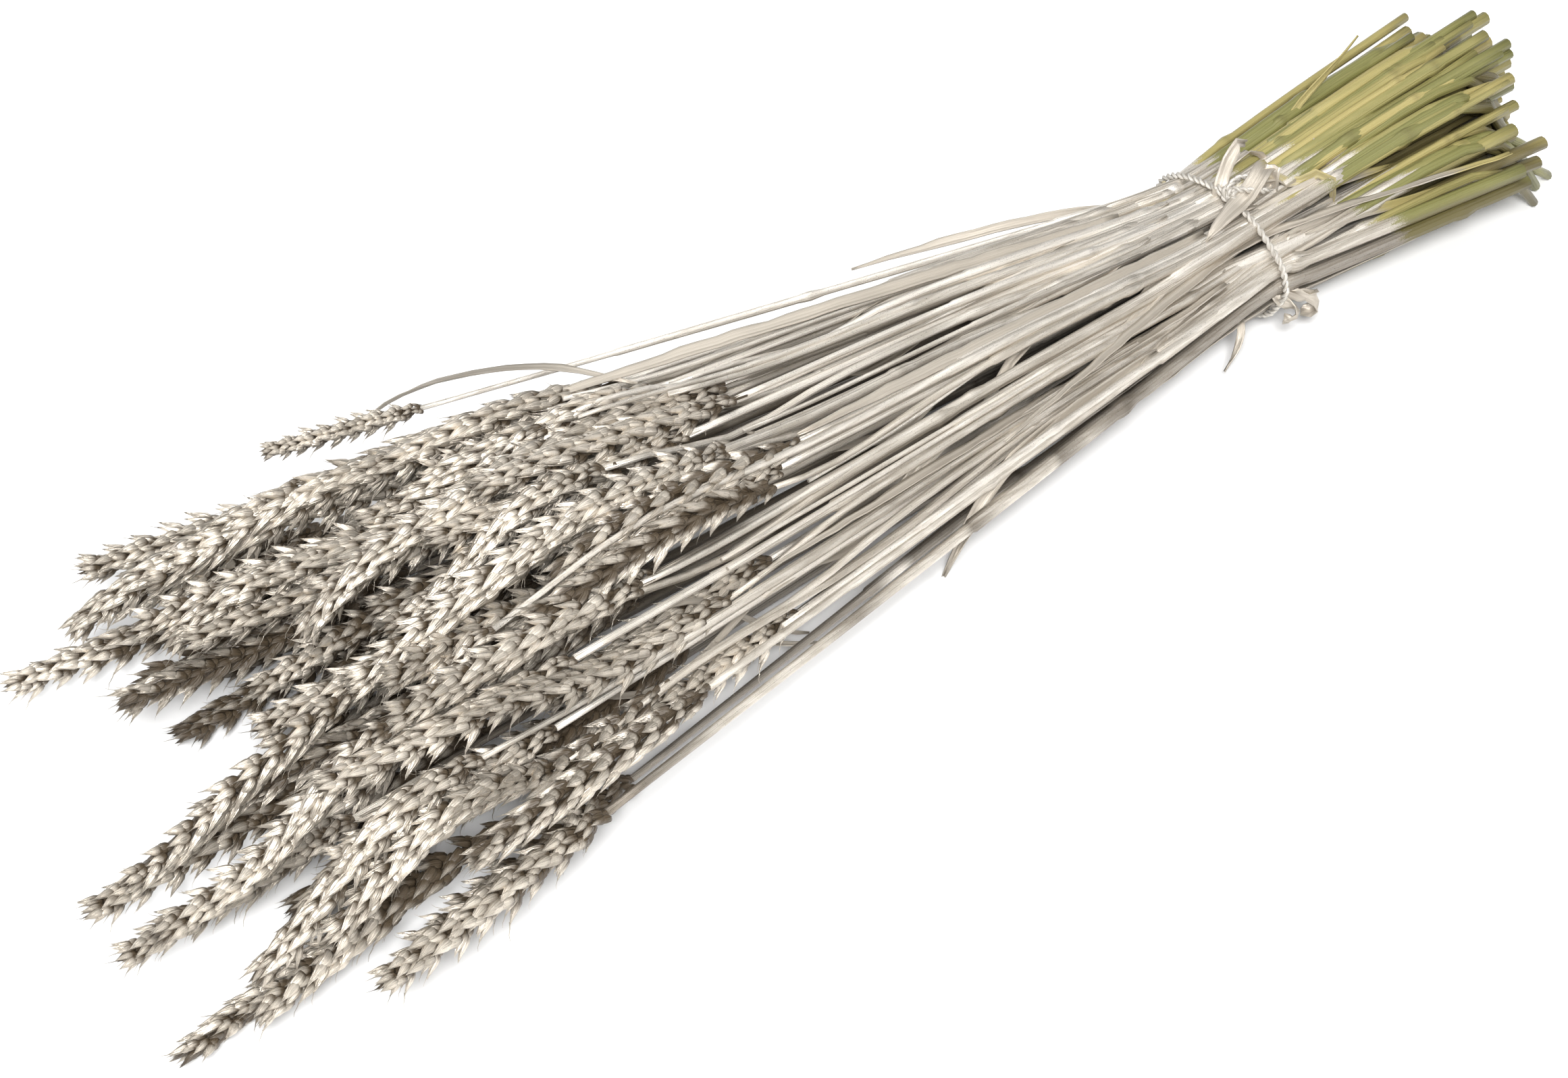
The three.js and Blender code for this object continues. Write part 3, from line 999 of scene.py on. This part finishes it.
def loose_straw(name, patterns, points, dice):
    """A straw whose ear lies hidden below the others."""
    radius = dice.uniform(1.4, 2.0) * MM
    shape = Matrix.Diagonal((length_of(points), radius, radius * dice.uniform(0.8, 1.0), 1))
    stem = copy_of(dice.choice(patterns.straws), turn("X", dice.uniform(0, 360)) @ shape, name)
    bend_along(stem, spaced(points, WAY_STEP))
    mark_paint(stem, dice)
    number_on(stem, "tone", [dice.random()] * len(stem.data.vertices))
    mark_depth(stem, [(place, radius) for place in points])
    return stem


EAR_OUTLINE = (  # millimetres from the tip, and radius
    (0, 1.0), (8, 5.0), (25, 6.4), (50, 6.2), (68, 5.2),
    (80, 3.4), (88, 1.25), (130, 1.5), (250, 2.0), (600, 2.2),
)  # fmt: skip


def outline_radius(distance):
    for (a, a_radius), (b, b_radius) in zip(EAR_OUTLINE, EAR_OUTLINE[1:]):
        if distance <= b:
            return between(a_radius, b_radius, (distance - a) / (b - a))
    return EAR_OUTLINE[-1][1]


def extra_rings(bunch, tip, side, dice):
    """Rings for a stalk that lies in the grooves of the frame's stalks."""
    cut = CAD_BOX[1][0] - dice.uniform(0, 14) * MM
    points = bunch.lying((tip, cut), (side, side + dice.uniform(-0.08, 0.08)), 2.6 * MM)
    rings = []
    for k, place in enumerate(points):
        radius = outline_radius(length_of(points[: k + 1]) / MM)
        rings.append((place, radius * MM))
    return rings


# Leaves


LEAF_TAPER = 0.3  # of its length, over which a leaf narrows to each end
STRIP_LEAN = 0.9  # radians that a strip at the bunch's edge leans, to lie against its round


def narrowed(ends, part):
    """How wide a leaf is at a part of its length, against its full width."""
    foot = between(ends[0], 1, min(part / LEAF_TAPER, 1) ** 0.7)
    tip = between(ends[1], 1, min((1 - part) / LEAF_TAPER, 1) ** 0.7)
    return min(1, foot, tip)


def leaf(name, length, width, ends, dice, thickness):
    """A dried leaf along +X, creased down its middle and crinkled. ends gives its width at each end."""
    steps = max(8, round(length / (6 * MM)))
    blade = new_primitive(
        bpy.ops.mesh.primitive_grid_add,
        name,
        x_subdivisions=steps,
        y_subdivisions=4,
        size=1,
        location=(0.5, 0, 0),
    )
    with Editing(blade) as edit:
        for k in range(steps + 1):
            part = k / steps
            wide = width * narrowed(ends, part) * dice.uniform(0.9, 1.05)
            edit.pick(lambda co, part=part: abs(co.x - part) < 1e-4)
            bpy.ops.transform.resize(value=(1, wide, 1), center_override=(part, 0, 0))
            crinkle = (0, dice.uniform(-0.04, 0.04) * width, dice.uniform(-0.05, 0.05) * width)
            bpy.ops.transform.translate(value=crinkle)
        for row, lift in ((0, -0.16), (0.25, 0.02), (0.5, 0.1)):
            edit.pick(lambda co, row=row: abs(abs(co.y) / width - row) < 0.06)
            bpy.ops.transform.translate(value=(0, 0, lift * width))
        bpy.ops.mesh.select_all(action="SELECT")
        bpy.ops.transform.resize(value=(length, 1, 1), center_override=(0, 0, 0))
    solid = blade.modifiers.new("thickness", "SOLIDIFY")
    solid.thickness = thickness
    select_only(blade)
    bpy.ops.object.modifier_apply(modifier="thickness")
    return smooth(blade)


def laid_leaf(name, points, width, ends, dice, sizes, lean=0.0, turns=0.0, twist="Z_UP"):
    """A leaf that follows the points, leaning by an angle about its length."""
    blade = leaf(name, length_of(points), width, ends, dice, sizes.leaf_thickness)
    if turns:
        twisted(blade, turns)
    blade.data.transform(Matrix.Rotation(lean, 4, "X"))
    return bend_along(blade, points, twist)


def blade_line(node):
    """The middle line of a leaf of the frame, its width and its lean."""
    rings = rings_of(node)
    places = [vert.co for vert in frame["nodes"][node].data.vertices]
    middle = rings[len(rings) // 2][0]
    ring = [place for place in places if abs(place.x - middle.x) < 0.1 * MM]
    pairs = [(a, b) for a in ring for b in ring if b.y >= a.y]
    widest = max(pairs, key=lambda ends: (ends[0] - ends[1]).length)
    across = widest[1] - widest[0]
    return spaced([centre for centre, _ in rings], WAY_STEP), across.length, math.atan2(across.z, across.y)


# Strips of leaf that lie over the straw: x in millimetres and side at each end, and width. The last three
# lie over the ears.
STRIPS = (
    ((20, -0.55), (112, -0.05), 3.4),
    ((55, -0.85), (128, -0.4), 3.8),
    ((-40, -0.3), (66, -0.12), 4.2),
    ((-12, 0.1), (92, 0.34), 3.0),
    ((-72, -0.78), (42, -0.6), 4.4),
    ((28, -1.0), (126, -0.82), 5.0),
    ((78, -1.02), (129, -0.72), 3.6),
    ((-62, 0.5), (58, 0.7), 3.2),
    ((84, -0.62), (129, -0.3), 4.6),
    ((146, -0.36), (186, -0.52), 3.4),
    ((150, -0.52), (204, -0.6), 3.0),
    ((145, -0.68), (182, -0.62), 4.0),
    ((147, -0.8), (196, -0.88), 3.4),
    ((152, -0.97), (188, -0.9), 4.2),
    ((172, -0.72), (212, -0.8), 2.8),
    ((160, -0.9), (216, -1.0), 3.0),
    ((40, 0.3), (124, 0.12), 2.6),
    ((-5, -0.95), (88, -0.98), 4.4),
    ((96, 0.5), (130, 0.35), 3.4),
    ((-161, -0.84), (-50, -0.8), 2.2),
    ((-146, -0.7), (-50, -0.74), 2.0),
    ((-118, -0.6), (-50, -0.72), 2.0),
)

# Scraps of leaf at the cord and past it. Places in millimetres: x from the cord, y, and height above the
# stalks. Then width, how wide each end is against that, and twist in turns.
SCRAPS = (
    ("upright_scrap", ((-2, 3, 1), (2, 6, 4), (8, 9, 9), (12, 10, 12), (15, 9, 11)), 4.6, (0.9, 0.5), 0.12),
    ("short_scrap", ((1, -4, 3), (6, -4, 5), (12, -3, 7.5), (17, -2, 9)), 5.6, (0.4, 0.9), 0.05),
    ("sheath_scrap", ((-1, -15, 2), (4, -16, 2.4), (10, -17, 1.8)), 6.4, (0.9, 1.0), 0.0),
    ("curled_scrap", ((8, 0, 1), (16, -2, 3.5), (24, -5, 4), (31, -11, 2.5), (33, -15, 0.5)),
        3.4, (0.4, 0.2), 0.3),
    ("far_scrap", ((10, 12, 1), (18, 11, 4), (28, 8, 4), (42, 4, 1.5)), 3.8, (0.6, 0.2), -0.35),
    ("far_strand", ((38, 21, 0), (52, 23, 2), (62, 24, 7), (71, 24, 13), (79, 24, 19)),
        2.4, (0.6, 0.1), 0.3),
    ("far_curl", ((0, 27, 1), (3, 32, 5), (6, 34, 9), (2, 36, 11), (-2, 33, 9)), 4.6, (0.8, 0.6), 0.2),
)  # fmt: skip

# Scraps that hang at the near edge: places in millimetres from the cord, across, and above the ground.
HANGING_SCRAPS = (
    ("near_curl", ((-2, -25, 20), (1, -29, 18), (3, -32, 16), (2, -32, 13), (-1, -30, 13)),
        4.6, (0.5, 0.8), 0.7),
    ("near_flap", ((3, -26, 21), (8, -30, 19), (12, -32, 15), (11, -31, 11), (8, -29, 11)),
        4.8, (0.5, 0.9), -0.7),
    ("near_tuft", ((0, -24, 21), (4, -28, 20), (8, -31, 18), (12, -32, 19)), 4.2, (0.7, 0.5), 0.4),
    ("near_drop", ((-16, -26, 18), (-18, -29, 14), (-22, -31, 10), (-26, -31, 5)), 2.6, (0.9, 0.15), 0.3),
)  # fmt: skip

# The strip over the knot, in millimetres: x from the cord, y, and height above the stalks.
KNOT_STRIP = (
    (-19, -9.5, 0.8), (-12, -8, 4.2), (-4, -6, 8.2), (4, -4, 8.8), (13, -1, 7.5), (22, 2.5, 5.5),
)  # fmt: skip

# Two leaves that stand away from the bunch: places in millimetres, and width.
LOOSE_LEAVES = (
    ("arched_leaf", ((-58, 36, 50), (-72, 56, 49), (-90, 78, 40), (-104, 92, 30), (-112, 98, 22)), 3.6),
    ("far_leaf", ((42, 60, 25), (74, 51, 26), (104, 41, 27), (134, 30, 24)), 3.4),
)


# Cord


CORD_PITCH = 5.2  # millimetres along the cord for each whole turn of a ply
LOOP_POINTS = 40  # round the bunch
FIBRES = 7  # frayed out of each end
FIBRE_LENGTH = 4 * MM


def ply_pair(name, length, ply):
    """Two-ply cord along +X."""
    plies = []
    for side in (-1, 1):
        plies.append(
            new_primitive(
                bpy.ops.mesh.primitive_cylinder_add,
                f"{name}_{side}",
                vertices=8,
                radius=ply,
                depth=length,
                end_fill_type="NGON",
                rotation=(0, math.pi / 2, 0),
                location=(length / 2, side * ply * 0.9, 0),
            )
        )
        cut_lengthwise(plies[-1], max(2, round(length / (2.4 * MM))), 2)
    return smooth(twisted(joined(plies, name), length / (CORD_PITCH * MM)))


def loop_points(bunch, clearance):
    """A taut loop round the stalks at the cord, from the knot round to the knot."""
    circles = bunch.across(TIE_X)
    points = []
    for k in range(LOOP_POINTS + 1):
        angle = KNOT_AT + TAU * k / LOOP_POINTS
        out = Vector((0, math.cos(angle), math.sin(angle)))
        centre, radius = max(circles, key=lambda circle: circle[0].dot(out) + circle[1])
        points.append(centre + out * (radius + clearance))
    return spaced([Vector((TIE_X, place.y, place.z)) for place in points], 1.5 * MM)


# The two ends in the knot, in millimetres: along the cord, along the bunch, and outwards.
KNOT_ENDS = (
    (
        (-6, 0, 0.2), (-3, 0.6, 0.7), (-0.6, 1.6, 1.8), (1.7, 0.6, 2.8), (1.9, -1.2, 2.2), (0.2, -1.8, 1.1),
        (-1.4, -0.6, 1.0), (-0.4, 1.2, 2.8), (1.8, 3.4, 3.3), (3.6, 6.4, 2.9), (4.8, 9.6, 2.0),
        (5.4, 12.2, 1.2),
    ),
    (
        (6, 0, 0.2), (3, -0.6, 0.7), (0.6, -1.6, 1.8), (-1.7, -0.6, 2.8), (-1.9, 1.2, 2.2), (-0.2, 1.8, 1.1),
        (1.4, 0.6, 1.2), (0.4, -0.8, 3.1), (-1.4, 1.6, 3.9), (-2.2, 5.2, 3.9), (-1.6, 8.8, 3.2),
        (-0.4, 11.6, 2.4),
    ),
)  # fmt: skip


# Operators


def finished(piece, *nodes, slot):
    """Hands a finished piece to the frame."""
    keep_off_ground(piece)
    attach(piece, "root")
    if nodes:
        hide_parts(*nodes)
    return piece


EXTRA_ROWS = (16, 48, 78, 106, 132)  # millimetres behind the foremost ear tips
LAST_TIP = -122  # X in millimetres that no extra ear's tip lies behind, in the middle of the bunch
EDGE_TIPS_FORWARD = 45  # how much further forward that limit is at the bunch's two edges
LOOSE_STRAWS = 22


class WHEAT_OT_stalks(bpy.types.Operator):
    """Models every stalk of the frame, ear and straw, and fills in more between them"""

    bl_idname = "wheat.stalks"
    bl_label = "Stalks"

    def execute(self, context):
        scene = context.scene
        patterns = Patterns(scene.wheat_sizes, scene.wheat_colours)
        dice = random.Random(11)
        for node in stalk_nodes():
            piece = stalk(node.replace("wheat_stalk", "stalk"), patterns, rings_of(node), dice)
            finished(piece, node, slot="wheat_stalk")
        self.fill_in(patterns, BUNCH)
        drop(*patterns.ears, *patterns.straws)
        return {"FINISHED"}

    def fill_in(self, patterns, bunch):
        """Lays more stalks, and straws whose ears lie hidden, between those of the frame."""
        dice = random.Random(23)
        number = 0
        for row, back in enumerate(EXTRA_ROWS):
            count = 6 - row % 2
            for k in range(count):
                side = between(-0.95, 0.9, (k + 0.5) / count) + dice.uniform(-0.06, 0.06)
                tip = self.front(bunch, side) + (back + dice.uniform(-8, 8)) * MM
                if tip > (LAST_TIP - EDGE_TIPS_FORWARD * side * side) * MM:
                    continue  # the ears at the bunch's two edges all lie forward
                number += 1
                rings = extra_rings(bunch, tip, side, dice)
                piece = stalk(f"extra_stalk_{number:02d}", patterns, rings, dice)
                finished(piece, slot="wheat_stalk")
        for k in range(LOOSE_STRAWS):
            side = between(-1.0, 0.75, (k + 0.5) / LOOSE_STRAWS) + dice.uniform(-0.05, 0.05)
            start = (dice.uniform(-95, -45) + 18 * abs(side)) * MM
            ends = (start, CAD_BOX[1][0] - dice.uniform(2, 30) * MM)
            points = bunch.lying(ends, (side, side + dice.uniform(-0.1, 0.1)), 1.8 * MM)
            piece = loose_straw(f"loose_straw_{k + 1:02d}", patterns, points, dice)
            finished(piece, slot="wheat_stalk")

    def front(self, bunch, side):
        """The foremost ear tip near this side of the bunch."""
        tips = [rings[0][0] for rings in bunch.strands]
        near = [tip.x for tip in tips if abs(tip.y - bunch.place_across(tip.x, side)) < 14 * MM]
        return min(near)


class WHEAT_OT_leaves(bpy.types.Operator):
    """Models the leaves among the straw, the strips that lie over it and the scraps at the cord"""

    bl_idname = "wheat.leaves"
    bl_label = "Leaves"

    def execute(self, context):
        self.sizes = context.scene.wheat_sizes
        self.paint = leaf_finish(context.scene.wheat_colours)
        self.dice = random.Random(5)
        bunch = BUNCH
        for node in sorted(n for n in frame["nodes"] if n.startswith("leaf_blade")):
            points, width, lean = blade_line(node)
            self.add(node.replace("leaf_blade", "blade"), points, width, (0.15, 0.6), node, lean=lean)
        for k, ((x_start, side_start), (x_end, side_end), width) in enumerate(STRIPS):
            ends = (x_start * MM, x_end * MM)
            points = bunch.lying(ends, (side_start, side_end), 0.4 * MM, under_cord=False)
            lean = -(side_start + side_end) / 2 * STRIP_LEAN
            turns = self.dice.uniform(-0.06, 0.06)
            self.add(f"strip_{k + 1:02d}", points, width * MM, (0.25, 0.4), lean=lean, turns=turns)
        for name, places, width, ends, turns in SCRAPS:
            points = [self.on_stalks(bunch, place) for place in places]
            self.add(name, points, width * MM, ends, turns=turns, twist="MINIMUM")
        for name, places, width, ends, turns in HANGING_SCRAPS:
            points = [Vector((TIE_X, 0, 0)) + Vector(place) * MM for place in places]
            self.add(name, points, width * MM, ends, turns=turns, twist="MINIMUM")
        for name, places, width in LOOSE_LEAVES:
            self.add(name, [Vector(place) * MM for place in places], width * MM, (0.1, 0.8), turns=0.1)
        self.over_knot(bunch)
        return {"FINISHED"}

    def add(self, name, points, width, ends, *nodes, **settings):
        piece = laid_leaf(name, points, width, ends, self.dice, self.sizes, **settings)
        mark_paint(give(piece, self.paint), self.dice, LEAF_PAINT_LATER)
        finished(piece, *nodes, slot="leaf_blade")

    def on_stalks(self, bunch, place):
        x, y, rise = (number * MM for number in place)
        x += TIE_X
        return Vector((x, y, bunch.rest_height(x, y, 0) + rise))

    def over_knot(self, bunch):
        """The broad strip caught over the knot, in place of the frame's own."""
        points = [self.on_stalks(bunch, place) for place in KNOT_STRIP]
        self.add("tie_strip", points, 6.2 * MM, (0.12, 0.75), "tie_leaf", turns=0.03)


class WHEAT_OT_cord(bpy.types.Operator):
    """Models the two-ply cord, its knot and its two frayed ends"""

    bl_idname = "wheat.cord"
    bl_label = "Cord"

    def execute(self, context):
        scene = context.scene
        ply = scene.wheat_sizes.ply
        paint = cord_finish(scene.wheat_colours)
        bunch = BUNCH
        loop = loop_points(bunch, 2 * ply)
        parts = [bend_along(ply_pair("loop", length_of(loop), ply), loop, "MINIMUM")]
        dice = random.Random(2)
        fibre = shaped_awn("fibre", FIBRE_LENGTH)
        out = Vector((0, math.cos(KNOT_AT), math.sin(KNOT_AT)))
        aside = Vector((0, -math.sin(KNOT_AT), math.cos(KNOT_AT)))
        for route in KNOT_ENDS:
            points = [loop[0] + (aside * u + Vector((w, 0, 0)) + out * n) * MM for u, w, n in route]
            parts.append(bend_along(ply_pair("end", length_of(points), ply), points, "MINIMUM"))
            ahead = (points[-1] - points[-2]).normalized()
            for _ in range(FIBRES):
                spread = Vector([dice.uniform(-0.45, 0.45) for _ in range(3)])
                way = (ahead + spread).to_track_quat("X", "Z").to_matrix().to_4x4()
                parts.append(copy_of(fibre, Matrix.Translation(points[-1] - ahead * MM) @ way))
        drop(fibre)
        cord = joined(parts, "cord")
        finished(give(cord, paint), "tie_cord", slot="tie_cord")
        return {"FINISHED"}


LIGHTS = (  # name, place and width in metres, and power in watts
    ("key_light", (-0.75, -0.95, 1.45), 0.6, 47),
    ("top_light", (0.2, 0.3, 2.4), 1.8, 32),
    ("fill_light", (1.4, -1.2, 1.0), 1.0, 6),
)
SKY = 0.28  # brightness of the studio round the bunch


class WHEAT_OT_stage(bpy.types.Operator):
    """Sets up the floor, the lights and the camera"""

    bl_idname = "wheat.stage"
    bl_label = "Stage"

    def execute(self, context):
        scene = context.scene
        stage = scene.wheat_stage
        floor = new_primitive(bpy.ops.mesh.primitive_plane_add, "floor", size=30)
        give(floor, floor_finish(scene.wheat_colours))
        for name, place, width, power in LIGHTS:
            self.light(name, place, width, power)
        world = bpy.data.worlds.new("studio")
        world.use_nodes = True
        backdrop = world.node_tree.nodes["Background"]
        backdrop.inputs["Color"].default_value = (1, 1, 1, 1)
        backdrop.inputs["Strength"].default_value = SKY
        scene.world = world
        scene.view_settings.view_transform = "Standard"
        camera = bpy.data.objects.new("camera", bpy.data.cameras.new("camera"))
        scene.collection.objects.link(camera)
        camera.data.sensor_width = 36
        camera.data.lens = camera.data.sensor_width / 2 / math.tan(stage.field / 2)
        camera.data.clip_start = 0.01
        turned = (
            Matrix.Rotation(stage.azimuth, 4, "Z")
            @ Matrix.Rotation(math.pi / 2 - stage.elevation, 4, "X")
            @ Matrix.Rotation(stage.roll, 4, "Z")
        )
        back = turned @ Vector((0, 0, 1))
        camera.matrix_world = Matrix.Translation(Vector(stage.target) + back * stage.distance) @ turned
        scene.camera = camera
        return {"FINISHED"}

    def light(self, name, place, width, power):
        lamp = bpy.data.lights.new(name, "AREA")
        lamp.shape = "DISK"
        lamp.size = width
        lamp.energy = power
        holder = bpy.data.objects.new(name, lamp)
        holder.location = place
        holder.rotation_euler = (-Vector(place)).to_track_quat("-Z", "Y").to_euler()
        bpy.context.scene.collection.objects.link(holder)


class WHEAT_PT_bunch(bpy.types.Panel):
    """Lists the bunch's settings and the steps that build it"""

    bl_label = "Wheat bunch"
    bl_space_type = "VIEW_3D"
    bl_region_type = "UI"
    bl_category = "Wheat"

    def draw(self, context):
        layout = self.layout
        for group in ("wheat_sizes", "wheat_colours", "wheat_stage"):
            settings = getattr(context.scene, group)
            box = layout.box()
            for key in settings.bl_rna.properties.keys():
                if key not in ("rna_type", "name"):
                    box.prop(settings, key)
        for step in STEPS:
            layout.operator(step.bl_idname)


GROUPS = {"wheat_sizes": WheatSizes, "wheat_colours": WheatColours, "wheat_stage": WheatStage}
STEPS = (WHEAT_OT_stalks, WHEAT_OT_leaves, WHEAT_OT_cord, WHEAT_OT_stage)


def register():
    for group in GROUPS.values():
        bpy.utils.register_class(group)
    for step in (*STEPS, WHEAT_PT_bunch):
        bpy.utils.register_class(step)
    for name, group in GROUPS.items():
        setattr(bpy.types.Scene, name, bpy.props.PointerProperty(type=group))


def unregister():
    for name in GROUPS:
        delattr(bpy.types.Scene, name)
    for step in (WHEAT_PT_bunch, *STEPS, *GROUPS.values()):
        bpy.utils.unregister_class(step)


def main():
    register()
    bpy.ops.wheat.stalks()
    bpy.ops.wheat.leaves()
    bpy.ops.wheat.cord()
    bpy.ops.wheat.stage()


if __name__ == "__main__":
    main()
